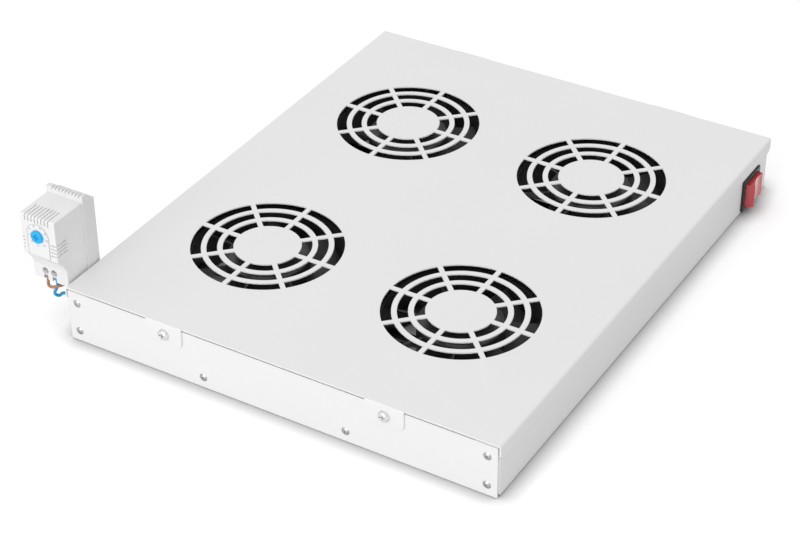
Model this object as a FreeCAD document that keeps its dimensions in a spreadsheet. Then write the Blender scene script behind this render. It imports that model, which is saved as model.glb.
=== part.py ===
import FreeCAD, Part

import math
import operator
import os
import Sketcher

Vector = FreeCAD.Vector

# Document and size sheet

doc = FreeCAD.newDocument("rack_fan_tray")
sheet = doc.addObject("Spreadsheet::Sheet", "sizes")


class Size:
    """A length that also keeps the formula it comes from, in the sheet's names."""

    def __init__(self, value, formula):
        self.value = value
        self.formula = formula

    def joined(self, other, sign, work):
        other = as_size(other)
        return Size(work(self.value, other.value), f"({self.formula} {sign} {other.formula})")

    def __add__(self, other):
        return self.joined(other, "+", operator.add)

    def __sub__(self, other):
        return self.joined(other, "-", operator.sub)

    def __mul__(self, other):
        return self.joined(other, "*", operator.mul)

    def __truediv__(self, other):
        return self.joined(other, "/", operator.truediv)

    def __radd__(self, other):
        return as_size(other) + self

    def __rsub__(self, other):
        return as_size(other) - self

    def __rmul__(self, other):
        return as_size(other) * self

    def __neg__(self):
        return Size(-self.value, f"(-{self.formula})")

    def __float__(self):
        return self.value


def as_size(number):
    """A plain number as a Size, and a Size as it is."""
    if isinstance(number, Size):
        return number
    return Size(float(number), repr(float(number)))


def root(size):
    """The square root of a Size."""
    return Size(math.sqrt(size.value), f"sqrt({size.formula})")


def to_sheet(row, name, value):
    """Writes one driving dimension to the sheet and returns it as a Size."""
    sheet.set(f"A{row}", name)
    sheet.set(f"B{row}", str(value))
    sheet.setAlias(f"B{row}", name)
    return Size(float(value), f"sizes.{name}")


def bind(item, prop, size):
    """Ties a property of a document object to a Size."""
    item.setExpression(prop, as_size(size).formula)


# Driving dimensions in millimetres: the tray and its folded sheet

tray_width = 360
tray_depth = 450
fan_headroom = 4.6
gauge = 1.2
bend_radius = 2.0
lip_height = 12
lip_gap = 0.2
lip_chamfer = 3.5
cover_gap = 0.3
panel_seam = 1.0
panel_side_gap = 0.8
return_flange = 18
foot_flange_height = 16
corner_relief = 3.0
tab_width = 31
tab_height = 17.5
tab_radius = 6
tab_bend_radius = 0.9
tab_inset = 88.7
tab_screw_drop = 9.2
rivet_inset = 10
rivet_drop = 11.7
rivet_lower = 9.0
rivet_middle = 59.5
rivet_shank_radius = 1.6
rivet_head_radius = 3.2
rivet_head_height = 1.1
hole_gap = 0.05
bolt_inset_x = 20
bolt_inset_y = 75
bolt_hole_radius = 3.3

# Driving dimensions: grilles and fans

fan_inset_x = 7.5
fan_inset_y = 10
fan_shift_y = -2
grille_margin = 0.5
slot_width = 8
ring_width = 4.1
spoke_width = 3.8
fan_size = 119.5
fan_height = 38
fan_corner_radius = 5
fan_hole_inset = 7.25
fan_flange = 4
duct_margin = 0.55
duct_wall = 2.0
strut_width = 7
strut_height = 3
strut_lift = 2
motor_plate_margin = 1
tube_radius = 5
tube_length = 20
shaft_radius = 1.5
shaft_gap = 0.05
hub_radius = 32
hub_wall = 2
hub_lift = 7
hub_top_gap = 2.5
blade_tip_gap = 1.2
blade_thickness = 1.6
stator_gap = 4
stator_height = 16
fan_screw_radius = 2.0
fan_screw_head_radius = 3.6
fan_screw_head_height = 0.9
fan_screw_length = 10
nut_radius = 4.0
nut_height = 3.0

# Driving dimensions: rocker switch in the right wall

switch_inset = 36
switch_place_z = 16.8
bezel_long = 31
bezel_high = 27
bezel_thick = 2.0
switch_body_long = 28.4
switch_body_high = 22
switch_body_deep = 25
rocker_high = 19.6
rocker_gap = 0.3
rocker_sweep = 12.6
rocker_crest = 7.4
rocker_dip = 5.2
rocker_depth = 3.0
rocker_pin_radius = 1.25
rocker_pin_length = 0.8
rocker_tilt = 7
blade_tab_width = 6.3
blade_tab_thick = 0.8
blade_tab_length = 8

# Driving dimensions: mains inlet in the rear panel

inlet_inset = 43
inlet_place_z = 21.5
inlet_flange_long = 50
inlet_flange_high = 24
inlet_flange_thick = 3
inlet_body_long = 27
inlet_body_high = 20
inlet_body_deep = 18
inlet_well_long = 24.4
inlet_well_high = 16.4
inlet_well_deep = 17
inlet_screw_pitch = 40
inlet_hole_radius = 1.75
inlet_screw_radius = 1.5

# Driving dimensions: thermostat, its rail and bracket, and the leads

thermostat_aside = 17.3
thermostat_ahead = 1
thermostat_sink = 5
thermostat_width = 31.4
thermostat_high = 60
thermostat_deep = 32
shoulder_high = 26
terminal_high = 14
terminal_recess = 8.5
slope_drop = 5.5
slope_back = 3.4
slope_round = 2.5
block_width = 33.4
block_deep = 9
block_rise = 5.2
block_lift = 1.6
strip_deep = 5
strip_drop = 7
dial_offset = -0.7
dial_rise = 44.2
dial_radius = 5.2
dial_thick = 1.8
arch_radius = 10.2
arch_thick = 0.3
arch_groove = 0.7
vent_width = 1.1
vent_pitch = 3.0
rail_high = 35
rail_deep = 7.5
rail_crown = 27
rail_gauge = 1.0
rail_long = 17
bracket_gauge = 1.5
grommet_inset = 19
grommet_place_z = 20
grommet_hole_radius = 5
lead_radius = 1.2
screw_radius = 1.95
cover_screw_length = 9
blade_bulge = 3.0

# Driving dimensions: small features of the inlet, the terminal block and the thermostat

inlet_pin_thick = 2
inlet_pin_high = 4
inlet_pin_length = 12
terminal_place_x = 70
terminal_place_y = -2
terminal_long = 60
terminal_wide = 18
terminal_tall = 18
terminal_clamp_radius = 2.4
earth_inset = 15
earth_place_y = 120
earth_stud_height = 14
thermostat_round = 1.6
vent_drop = 5
vent_depth = 1.2
vent_reach = 15
slope_slot_offset = 2.5
side_slit_left = 2.6
side_slit_right = 5.3
side_slit_reach = 12
side_slit_lift = 4.9
clamp_left = -4.9
clamp_right = 2.9
clamp_rise = 7.5
clamp_radius = 2.9
clamp_depth = 4.5
spindle_radius = 2
dial_depth = 6
dial_slot = 1.3
entry_reach = 3.8
lead_inset = 2.0
entry_size = 3.8
entry_depth = 4
groove_drop = 1.8
groove_pitch = 3
band_deep = 3.8
band_fall = 3.6
claw_reach = 2.5
rail_aside = 24.5
rail_rivet_step = 8
bracket_low = 4
bracket_arm = 26
bracket_rivet_z = 17
bracket_rivet_inset = 35
bracket_rivet_pitch = 12
grommet_lip = 1.5
lead_spread = 2.2

# Each driving dimension gets its row in the sheet, and its name stands for a Size from here on

dimensions = {name: value for name, value in list(globals().items()) if isinstance(value, (int, float))}
for row, (name, value) in enumerate(dimensions.items(), start=1):
    globals()[name] = to_sheet(row, name, value)

# Places worked out from the driving dimensions

tray_height = fan_height + fan_headroom + 2 * gauge
cover_half = tray_width / 2
tray_half = tray_depth / 2
tab_place = cover_half - tab_inset
rivet_side = cover_half - rivet_inset
rivet_upper = tray_height - rivet_drop
bolt_place_x = cover_half - bolt_inset_x
bolt_place_y = tray_half - bolt_inset_y
cover_end = tray_half - gauge
plate_under = tray_height - gauge
wall_out = cover_half - gauge - lip_gap
wall_in = wall_out - gauge
wall_top = plate_under - cover_gap
panel_front = tray_half - gauge
panel_back = panel_front - gauge
panel_half = wall_out - panel_side_gap
panel_top = plate_under - panel_seam
flange_inner = wall_out - return_flange
tab_screw_z = tray_height - tab_screw_drop
hub_top = fan_height - hub_top_gap
fan_half = fan_size / 2
fan_pitch_x = cover_half - 2 * fan_inset_x
fan_pitch_y = tray_half - 2 * fan_inset_y
fan_hole_pitch = fan_size - 2 * fan_hole_inset
duct_radius = fan_half - duct_wall - duct_margin
motor_plate_radius = hub_radius - motor_plate_margin
stator_radius = hub_radius - hub_wall - stator_gap
switch_place_y = tray_half - switch_inset
inlet_place_x = cover_half - inlet_inset
earth_place_x = cover_half - earth_inset
grommet_place_y = grommet_inset - tray_half
bracket_rivet_front = bracket_rivet_inset - tray_half
bracket_rivet_back = bracket_rivet_front + bracket_rivet_pitch
rail_place_x = -(cover_half + rail_aside)
thermostat_place_x = -(cover_half + thermostat_aside)
thermostat_front = -(tray_half + thermostat_ahead)
thermostat_foot = tray_height - thermostat_sink
spokes = 8
rings = 3
slot_inner_radius = duct_radius + grille_margin - rings * slot_width - (rings - 1) * ring_width
blades = 7
struts = 4
sides = (-1, 1)

fan_names = {
    "front_left": (-1, -1),
    "front_right": (1, -1),
    "rear_left": (-1, 1),
    "rear_right": (1, 1),
}


def fan_centre(side_x, side_y):
    """The centre of one fan in plan."""
    return side_x * fan_pitch_x / 2, side_y * fan_pitch_y / 2 + fan_shift_y


# Bodies, sketches and features

nodes = []


def new_body(name):
    """An empty body with its own label."""
    body = doc.addObject("PartDesign::Body", name)
    body.Label = name
    return body


def origin_feature(body, role):
    """A plane or axis of the body's own origin."""
    return next(item for item in body.Origin.OriginFeatures if item.Role == role)


def fix(sketch, kind, edge, point, size):
    """Holds one coordinate of a point of the sketch at a Size."""
    size = as_size(size)
    index = sketch.addConstraint(Sketcher.Constraint(kind, -1, 1, edge, point, size.value))
    sketch.setExpression(f"Constraints[{index}]", size.formula)


def corner(x, y, centre=None):
    """A corner of an outline; with a centre, the edge that ends here is an arc about it."""
    if centre is not None:
        centre = (as_size(centre[0]), as_size(centre[1]))
    return {"x": as_size(x), "y": as_size(y), "centre": centre}


def add_arc(sketch, start, end, centre):
    """Adds the shorter arc between two points and tells which of its ends comes first."""
    middle = Vector(centre[0].value, centre[1].value, 0)
    first = math.atan2(start.y - middle.y, start.x - middle.x)
    last = math.atan2(end.y - middle.y, end.x - middle.x)
    forward = (last - first) % math.tau <= math.pi
    low, high = (first, last) if forward else (last, first)
    circle = Part.Circle(middle, Vector(0, 0, 1), (start - middle).Length)
    index = sketch.addGeometry(Part.ArcOfCircle(circle, low, high), False)
    fix(sketch, "DistanceX", index, 3, centre[0])
    fix(sketch, "DistanceY", index, 3, centre[1])
    return (index, 1, 2) if forward else (index, 2, 1)


def add_outline(sketch, corners):
    """Adds a closed outline whose corners are held by the sheet."""
    edges = []
    for here, there in zip(corners, corners[1:] + corners[:1]):
        start = Vector(here["x"].value, here["y"].value, 0)
        end = Vector(there["x"].value, there["y"].value, 0)
        if there["centre"] is None:
            index = sketch.addGeometry(Part.LineSegment(start, end), False)
            edges.append((index, 1, 2))
        else:
            edges.append(add_arc(sketch, start, end, there["centre"]))
    for edge, follower in zip(edges, edges[1:] + edges[:1]):
        joint = Sketcher.Constraint("Coincident", edge[0], edge[2], follower[0], follower[1])
        sketch.addConstraint(joint)
    for spot, edge in zip(corners, edges):
        across = along = True
        if spot["centre"] is not None:
            reach_x = abs(spot["x"].value - spot["centre"][0].value)
            reach_y = abs(spot["y"].value - spot["centre"][1].value)
            across = reach_y >= reach_x
            along = not across
        if across:
            fix(sketch, "DistanceX", edge[0], edge[1], spot["x"])
        if along:
            fix(sketch, "DistanceY", edge[0], edge[1], spot["y"])


def add_circle(sketch, x, y, radius):
    """Adds a circle held by the sheet."""
    x, y, radius = as_size(x), as_size(y), as_size(radius)
    circle = Part.Circle(Vector(x.value, y.value, 0), Vector(0, 0, 1), radius.value)
    index = sketch.addGeometry(circle, False)
    fix(sketch, "DistanceX", index, 3, x)
    fix(sketch, "DistanceY", index, 3, y)
    number = sketch.addConstraint(Sketcher.Constraint("Radius", index, radius.value))
    sketch.setExpression(f"Constraints[{number}]", radius.formula)


def new_sketch(body, name, role, lift=0, outlines=(), circles=(), shift=(0, 0), turn=0):
    """A sketch on one of the body's own planes, lifted along the plane's normal."""
    sketch = body.newObject("Sketcher::SketchObject", f"{body.Name}_{name}")
    sketch.AttachmentSupport = (origin_feature(body, role), "")
    sketch.MapMode = "FlatFace"
    sketch.AttachmentOffset = FreeCAD.Placement(Vector(), FreeCAD.Rotation(Vector(0, 0, 1), turn))
    for axis, size in zip("xyz", (*shift, lift)):
        bind(sketch, f"AttachmentOffset.Base.{axis}", size)
    for outline in outlines:
        add_outline(sketch, outline)
    for circle in circles:
        add_circle(sketch, *circle)
    return sketch


def box_outline(low_x, high_x, low_y, high_y):
    """The four corners of a rectangle."""
    return [corner(low_x, low_y), corner(high_x, low_y), corner(high_x, high_y), corner(low_x, high_y)]


def centred_outline(x, y, long, high):
    """The four corners of a rectangle about its centre."""
    return box_outline(x - long / 2, x + long / 2, y - high / 2, y + high / 2)


def pad(body, sketch, length, way="normal"):
    """Pads a sketch along its normal, against it, or half to each side."""
    feature = body.newObject("PartDesign::Pad", f"{sketch.Name}_pad")
    feature.Profile = sketch
    bind(feature, "Length", length)
    feature.Midplane = way == "both"
    feature.Reversed = way == "against"
    return feature


def pocket(body, sketch, depth=None, way="against"):
    """Cuts a sketch to a depth, or through all on both sides where no depth is given."""
    feature = body.newObject("PartDesign::Pocket", f"{sketch.Name}_pocket")
    feature.Profile = sketch
    if depth is None:
        feature.Type = "ThroughAll"
        feature.Midplane = True
    else:
        bind(feature, "Length", depth)
        feature.Midplane = way == "both"
        feature.Reversed = way == "normal"
    return feature


def turned(body, sketch):
    """Revolves a half profile about the upright axis of its sketch."""
    feature = body.newObject("PartDesign::Revolution", f"{sketch.Name}_turned")
    feature.Profile = sketch
    feature.ReferenceAxis = (sketch, ["V_Axis"])
    feature.Angle = 360
    return feature


def around(body, features, sketch, count):
    """Repeats features about the normal of a sketch."""
    pattern = body.newObject("PartDesign::PolarPattern", f"{features[0].Name}_around")
    pattern.Originals = features
    pattern.Axis = (sketch, ["N_Axis"])
    pattern.Angle = 360
    pattern.Occurrences = count
    body.Tip = pattern
    return pattern


def in_line(body, feature, role, pitch, count):
    """Repeats a feature along one of the body's axes."""
    pattern = body.newObject("PartDesign::LinearPattern", f"{feature.Name}_row")
    pattern.Originals = [feature]
    pattern.Direction = (origin_feature(body, role), [""])
    bind(pattern, "Length", pitch * (count - 1))
    pattern.Occurrences = count
    body.Tip = pattern
    return pattern


def mirrored(body, features, role):
    """Mirrors features about one of the body's planes."""
    mirror = body.newObject("PartDesign::Mirrored", f"{features[0].Name}_mirrored")
    mirror.Originals = features
    mirror.MirrorPlane = (origin_feature(body, role), [""])
    body.Tip = mirror
    return mirror


def on(edge, **places):
    """Whether an edge lies whole at the given distances from the middle planes."""
    for axis, place in places.items():
        low = getattr(edge.BoundBox, f"{axis.upper()}Min")
        high = getattr(edge.BoundBox, f"{axis.upper()}Max")
        if high - low > 0.01 or abs(abs(low) - float(place)) > 0.01:
            return False
    return True


def rounded(body, name, radius, picked):
    """Rounds the edges that the test picks on the body as it stands."""
    doc.recompute()
    base = body.Tip
    names = [f"Edge{place}" for place, edge in enumerate(base.Shape.Edges, 1) if picked(edge)]
    feature = body.newObject("PartDesign::Fillet", f"{body.Name}_{name}")
    feature.Base = (base, names)
    bind(feature, "Radius", radius)
    return feature


def placed(name, template, x, y, z, turn=0):
    """A node of its own with the shape of a finished body, set at its place."""
    item = doc.addObject("Part::Feature", name)
    item.Label = name
    item.Shape = template.Shape
    item.Placement = FreeCAD.Placement(Vector(), FreeCAD.Rotation(Vector(0, 0, 1), turn))
    for axis, size in zip("xyz", (x, y, z)):
        bind(item, f"Placement.Base.{axis}", size)
    nodes.append(item)
    return item


facing = {
    "up": FreeCAD.Rotation(),
    "down": FreeCAD.Rotation(Vector(1, 0, 0), 180),
    "front": FreeCAD.Rotation(Vector(1, 0, 0), 90),
    "back": FreeCAD.Rotation(Vector(1, 0, 0), -90),
    "left": FreeCAD.Rotation(Vector(0, 1, 0), -90),
    "right": FreeCAD.Rotation(Vector(0, 1, 0), 90),
}


def group(name, template, spots):
    """One node with a separate solid of the same body at each spot."""
    doc.recompute()
    shapes = []
    for x, y, z, way in spots:
        shape = template.Shape.copy()
        shape.Placement = FreeCAD.Placement(Vector(float(x), float(y), float(z)), facing[way])
        shapes.append(shape)
    item = doc.addObject("Part::Feature", name)
    item.Label = name
    item.Shape = Part.makeCompound(shapes)
    nodes.append(item)
    return item


# Top cover: a folded sheet with four grilles, two lips and four tabs


def grille_slot(body, sketch, ring):
    """One slot between two spokes; its straight ends run parallel to them."""
    half_angle = math.pi / spokes
    inner = slot_inner_radius + ring * (slot_width + ring_width)
    outer = inner + slot_width
    corners = []
    for radius, side, bent in ((inner, -1, True), (outer, -1, False), (outer, 1, True), (inner, 1, False)):
        along = root(radius * radius - spoke_width * spoke_width / 4)
        x = math.cos(half_angle) * along + math.sin(half_angle) * spoke_width / 2
        y = side * (math.sin(half_angle) * along - math.cos(half_angle) * spoke_width / 2)
        corners.append(corner(x, y, (0, 0) if bent else None))
    add_outline(sketch, corners)


def make_grille(body, name, centre):
    """Three rings of slots about one fan."""
    sketch = new_sketch(body, f"slots_{name}", "XY_Plane", shift=centre, turn=180 / spokes)
    for ring in range(rings):
        grille_slot(body, sketch, ring)
    cut = pocket(body, sketch)
    around(body, [cut], sketch, spokes)


def tab_outline(centre):
    """A tab that hangs from the top plate, with round lower corners."""
    left, right = centre - tab_width / 2, centre + tab_width / 2
    low = tray_height - tab_height
    bend = low + tab_radius
    return [
        corner(left, tray_height),
        corner(left, bend),
        corner(left + tab_radius, low, (left + tab_radius, bend)),
        corner(right - tab_radius, low),
        corner(right, bend, (right - tab_radius, bend)),
        corner(right, tray_height),
    ]


def make_top_cover():
    """The cover: top plate, side lips, tabs, bends, screw holes and grilles."""
    body = new_body("top_cover")
    low = tray_height - lip_height
    fold = [
        corner(-cover_half, low),
        corner(-cover_half, tray_height),
        corner(cover_half, tray_height),
        corner(cover_half, low),
        corner(cover_half - gauge, low),
        corner(cover_half - gauge, plate_under),
        corner(-cover_half + gauge, plate_under),
        corner(-cover_half + gauge, low),
    ]
    pad(body, new_sketch(body, "fold", "XZ_Plane", outlines=[fold]), 2 * cover_end, "both")
    outlines = [tab_outline(side * tab_place) for side in sides]
    tabs = new_sketch(body, "tabs", "XZ_Plane", tray_half, outlines)
    mirrored(body, [pad(body, tabs, gauge, "against")], "XZ_Plane")

    rounded(body, "outer_bends", bend_radius, lambda edge: on(edge, x=cover_half, z=tray_height))
    rounded(body, "tab_bends", tab_bend_radius, lambda edge: on(edge, y=tray_half, z=tray_height))
    inner_radius = bend_radius - gauge
    rounded(body, "inner_bends", inner_radius, lambda edge: on(edge, x=cover_half - gauge, z=plate_under))
    ends = []
    for side in sides:
        end = side * cover_end
        ends.append([corner(end, low), corner(end - side * lip_chamfer, low), corner(end, low + lip_chamfer)])
    pocket(body, new_sketch(body, "lip_ends", "YZ_Plane", outlines=ends))
    holes = [(side * tab_place, tab_screw_z, screw_hole_radius) for side in sides]
    pocket(body, new_sketch(body, "screw_holes", "XZ_Plane", circles=holes))
    for name, (side_x, side_y) in fan_names.items():
        make_grille(body, name, fan_centre(side_x, side_y))
    nodes.append(body)


# Base pan: bottom plate, side walls and the flanges that carry the end panels

screw_hole_radius = screw_radius + 0.2
fan_hole_radius = fan_screw_radius + 0.2
rivet_hole_radius = rivet_shank_radius + hole_gap
panel_rivets = [(side * rivet_side, height) for side in sides for height in (rivet_upper, rivet_lower)]
panel_rivets += [(side * rivet_middle, rivet_lower) for side in sides]
bracket_rivets = (bracket_rivet_front, bracket_rivet_back)
inlet_window = centred_outline(inlet_place_x, inlet_place_z, inlet_body_long + 0.4, inlet_body_high + 0.4)


def fan_corners():
    """The sixteen fan screw places in plan."""
    half = fan_hole_pitch / 2
    spots = []
    for side_x, side_y in fan_names.values():
        x, y = fan_centre(side_x, side_y)
        spots += [(x + step_x * half, y + step_y * half) for step_x in sides for step_y in sides]
    return spots


def make_base_pan():
    """The base: a channel with return flanges at its wall ends and a foot flange at each end."""
    body = new_body("base_pan")
    fold = [
        corner(-wall_out, 0),
        corner(wall_out, 0),
        corner(wall_out, wall_top),
        corner(wall_in, wall_top),
        corner(wall_in, gauge),
        corner(-wall_in, gauge),
        corner(-wall_in, wall_top),
        corner(-wall_out, wall_top),
    ]
    pad(body, new_sketch(body, "fold", "XZ_Plane", outlines=[fold]), 2 * panel_back, "both")
    foot_half = flange_inner - corner_relief
    flanges = [box_outline(-foot_half, foot_half, 0, foot_flange_height)]
    flanges.append(box_outline(flange_inner, wall_out, corner_relief, wall_top))
    flanges.append(box_outline(-wall_out, -flange_inner, corner_relief, wall_top))
    ends = new_sketch(body, "flanges", "XZ_Plane", panel_back, flanges)
    mirrored(body, [pad(body, ends, gauge, "against")], "XZ_Plane")
    reliefs = []
    for side_x in sides:
        for side_y in sides:
            inner, outer = sorted((side_x * foot_half, side_x * (wall_out + gauge)), key=float)
            near, far = sorted(
                (side_y * (panel_back - 2 * gauge), side_y * (panel_back + gauge)), key=float)
            reliefs.append(box_outline(inner, outer, near, far))
    pocket(body, new_sketch(body, "reliefs", "XY_Plane", outlines=reliefs), corner_relief, "normal")

    def outer_bend(edge):
        foot = on(edge, y=panel_back, z=0)
        return foot or on(edge, x=wall_out, z=0) or on(edge, x=wall_out, y=panel_back)

    def inner_bend(edge):
        foot = on(edge, y=panel_back - gauge, z=gauge)
        return foot or on(edge, x=wall_in, z=gauge) or on(edge, x=wall_in, y=panel_back - gauge)

    rounded(body, "outer_bends", bend_radius, outer_bend)
    rounded(body, "inner_bends", bend_radius - gauge, inner_bend)
    openings = [(*fan_centre(*side), duct_radius) for side in fan_names.values()]
    for side_x in sides:
        openings += [(side_x * bolt_place_x, side * bolt_place_y, bolt_hole_radius) for side in sides]
    pocket(body, new_sketch(body, "openings", "XY_Plane", circles=openings))
    rivets = [(x, z, rivet_hole_radius) for x, z in panel_rivets]
    pocket(body, new_sketch(body, "rivet_holes", "XZ_Plane", circles=rivets))
    inlet = new_sketch(body, "inlet_window", "XZ_Plane", -(panel_back - 2 * gauge), [inlet_window])
    pocket(body, inlet, 3 * gauge)
    window = centred_outline(switch_place_y, switch_place_z, switch_body_long + 0.3, switch_body_high + 0.3)
    switch = new_sketch(body, "switch_window", "YZ_Plane", outlines=[window])
    pocket(body, switch, cover_half, "normal")
    wall_holes = [(grommet_place_y, grommet_place_z, grommet_hole_radius)]
    wall_holes += [(y, bracket_rivet_z, rivet_hole_radius) for y in bracket_rivets]
    pocket(body, new_sketch(body, "wall_holes", "YZ_Plane", circles=wall_holes), cover_half)
    circles = [(x, y, fan_hole_radius) for x, y in fan_corners()]
    screw_holes = new_sketch(body, "fan_screw_holes", "XY_Plane", circles=circles)
    doc.recompute()
    hole = body.newObject("PartDesign::Hole", "base_pan_countersinks")
    hole.Profile = screw_holes
    hole.Reversed = True
    hole.DepthType = "ThroughAll"
    bind(hole, "Diameter", 2 * fan_hole_radius)
    hole.HoleCutType = "Countersink"
    hole.HoleCutCustomValues = True
    bind(hole, "HoleCutDiameter", 2 * (fan_screw_head_radius + hole_gap))
    hole.HoleCutCountersinkAngle = 120
    nodes.append(body)


# End panels


def make_panel(name, back_y, windows=(), holes=()):
    """A flat end panel with rivet holes and cover screw holes."""
    body = new_body(name)
    circles = [(x, z, rivet_hole_radius) for x, z in panel_rivets]
    circles += [(side * tab_place, tab_screw_z, screw_hole_radius) for side in sides]
    circles += list(holes)
    outline = box_outline(-panel_half, panel_half, cover_gap, panel_top)
    sketch = new_sketch(body, "outline", "XZ_Plane", -back_y, [outline, *windows], circles)
    pad(body, sketch, gauge, "normal" if float(back_y) < 0 else "against")
    nodes.append(body)


# Fasteners: blind rivets, cover screws and their nuts, fan screws and nuts


def rivet_body(name, grip):
    """A blind rivet that stands on the origin, with a dimple on top and a bulb under its grip."""
    body = new_body(name)
    ball = (rivet_head_radius * rivet_head_radius + rivet_head_height * rivet_head_height)
    ball = ball / (2 * rivet_head_height)
    dimple = rivet_shank_radius / 2
    rim = root(ball * ball - dimple * dimple) - ball + rivet_head_height
    bulb = rivet_shank_radius * 1.45
    profile = [
        corner(0, rivet_head_height / 3),
        corner(dimple, rivet_head_height / 3),
        corner(dimple, rim),
        corner(rivet_head_radius, 0, (0, rivet_head_height - ball)),
        corner(rivet_shank_radius, 0),
        corner(rivet_shank_radius, -grip),
        corner(bulb, -grip),
        corner(bulb, -grip - rivet_shank_radius),
        corner(0, -grip - 2 * rivet_shank_radius),
    ]
    turned(body, new_sketch(body, "profile", "XZ_Plane", outlines=[profile]))
    return body


def cross_recess(body, z, reach, width, depth):
    """A cross in the top of a screw head."""
    bars = [[*centred_outline(0, 0, 2 * reach, width)], [*centred_outline(0, 0, width, 2 * reach)]]
    for place, bar in enumerate(bars):
        pocket(body, new_sketch(body, f"cross_{place}", "XY_Plane", z, [bar]), depth)


def pan_screw_body():
    """A cross-head pan screw that stands on the origin."""
    body = new_body("pan_screw")
    radius = screw_radius * 2.4
    height = screw_radius * 1.35
    rim = height * 0.35
    profile = [
        corner(0, height),
        corner(radius * 0.35, height),
        corner(radius, rim, (radius * 0.35, height - radius * 0.65)),
        corner(radius, 0),
        corner(screw_radius, 0),
        corner(screw_radius, -cover_screw_length),
        corner(0, -cover_screw_length),
    ]
    turned(body, new_sketch(body, "profile", "XZ_Plane", outlines=[profile]))
    cross_recess(body, height, radius * 0.5, screw_radius * 0.45, height * 0.55)
    return body


def nut_body(name, hole, span, height, flats):
    """A nut with its foot on the origin: square or six-sided."""
    body = new_body(name)
    corners = []
    for step in range(flats):
        angle = math.tau * (step + 0.5) / flats
        corners.append(corner(span * math.cos(angle), span * math.sin(angle)))
    sketch = new_sketch(body, "outline", "XY_Plane", outlines=[corners], circles=[(0, 0, hole)])
    pad(body, sketch, height)
    return body


def fan_screw_body():
    """A flat-head screw that hangs from the origin, with its head up."""
    body = new_body("fan_screw")
    profile = [
        corner(0, 0),
        corner(fan_screw_head_radius, 0),
        corner(fan_screw_radius, -fan_screw_head_height),
        corner(fan_screw_radius, -fan_screw_length),
        corner(0, -fan_screw_length),
    ]
    turned(body, new_sketch(body, "profile", "XZ_Plane", outlines=[profile]))
    return body


# Fans: frame with spider and bearing tube, stator, impeller with shaft


def make_fan_frame():
    """A square frame: two flanges, the round duct between them, and the spider with its tube."""
    body = new_body("fan_frame")
    square = [centred_outline(0, 0, fan_size, fan_size)]
    pad(body, new_sketch(body, "foot_flange", "XY_Plane", outlines=square), fan_flange)
    rounded(body, "foot_corners", fan_corner_radius, lambda edge: on(edge, x=fan_half, y=fan_half))
    duct = [(0, 0, duct_radius + duct_wall)]
    pad(body, new_sketch(body, "duct", "XY_Plane", circles=duct), fan_height)
    top = new_sketch(body, "top_flange", "XY_Plane", fan_height - fan_flange, square)
    pad(body, top, fan_flange)

    def top_corner(edge):
        return on(edge, x=fan_half, y=fan_half) and edge.CenterOfMass.z > float(fan_height) / 2

    rounded(body, "top_corners", fan_corner_radius, top_corner)
    half = fan_hole_pitch / 2
    holes = [(side_x * half, side_y * half, fan_hole_radius) for side_x in sides for side_y in sides]
    pocket(body, new_sketch(body, "bore", "XY_Plane", circles=[(0, 0, duct_radius), *holes]))
    plate = new_sketch(body, "motor_plate", "XY_Plane", strut_lift, circles=[(0, 0, motor_plate_radius)])
    pad(body, plate, strut_height)
    strut = box_outline(motor_plate_radius - duct_wall, duct_radius + duct_wall / 2, -strut_width / 2,
                        strut_width / 2)
    arm = new_sketch(body, "strut", "XY_Plane", strut_lift, [strut])
    around(body, [pad(body, arm, strut_height)], arm, struts)
    tube = new_sketch(body, "tube", "XY_Plane", strut_lift, circles=[(0, 0, tube_radius)])
    pad(body, tube, tube_length)
    bore = new_sketch(body, "tube_bore", "XY_Plane", circles=[(0, 0, shaft_radius + shaft_gap)])
    pocket(body, bore)
    return body


def make_stator():
    """The laminated motor core that sits on the bearing tube."""
    body = new_body("fan_stator")
    ring = new_sketch(body, "ring", "XY_Plane", strut_lift + strut_height + 1,
                      circles=[(0, 0, stator_radius), (0, 0, tube_radius + hole_gap)])
    pad(body, ring, stator_height)
    gap = box_outline(stator_radius * 0.45, stator_radius * 1.1, -strut_width / 2, strut_width / 2)
    slot = new_sketch(body, "slot", "XY_Plane", outlines=[gap])
    around(body, [pocket(body, slot)], slot, 4)
    return body


def blade_outline(low, high, reach, bulge):
    """A cambered blade section seen along the radius: two arcs about one centre and two ends."""
    run = 2 * reach
    rise = high - low
    chord = root(run * run + rise * rise)
    bend = (chord * chord / 4 + bulge * bulge) / (2 * bulge)
    offset = bend - bulge
    centre = (-offset * rise / chord, (low + high) / 2 + offset * run / chord)
    grow = (bend + blade_thickness) / bend

    def outward(x, y):
        return centre[0] + (x - centre[0]) * grow, centre[1] + (y - centre[1]) * grow

    return [
        corner(-reach, low, centre),
        corner(*outward(-reach, low)),
        corner(*outward(reach, high), centre),
        corner(reach, high),
    ]


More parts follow.
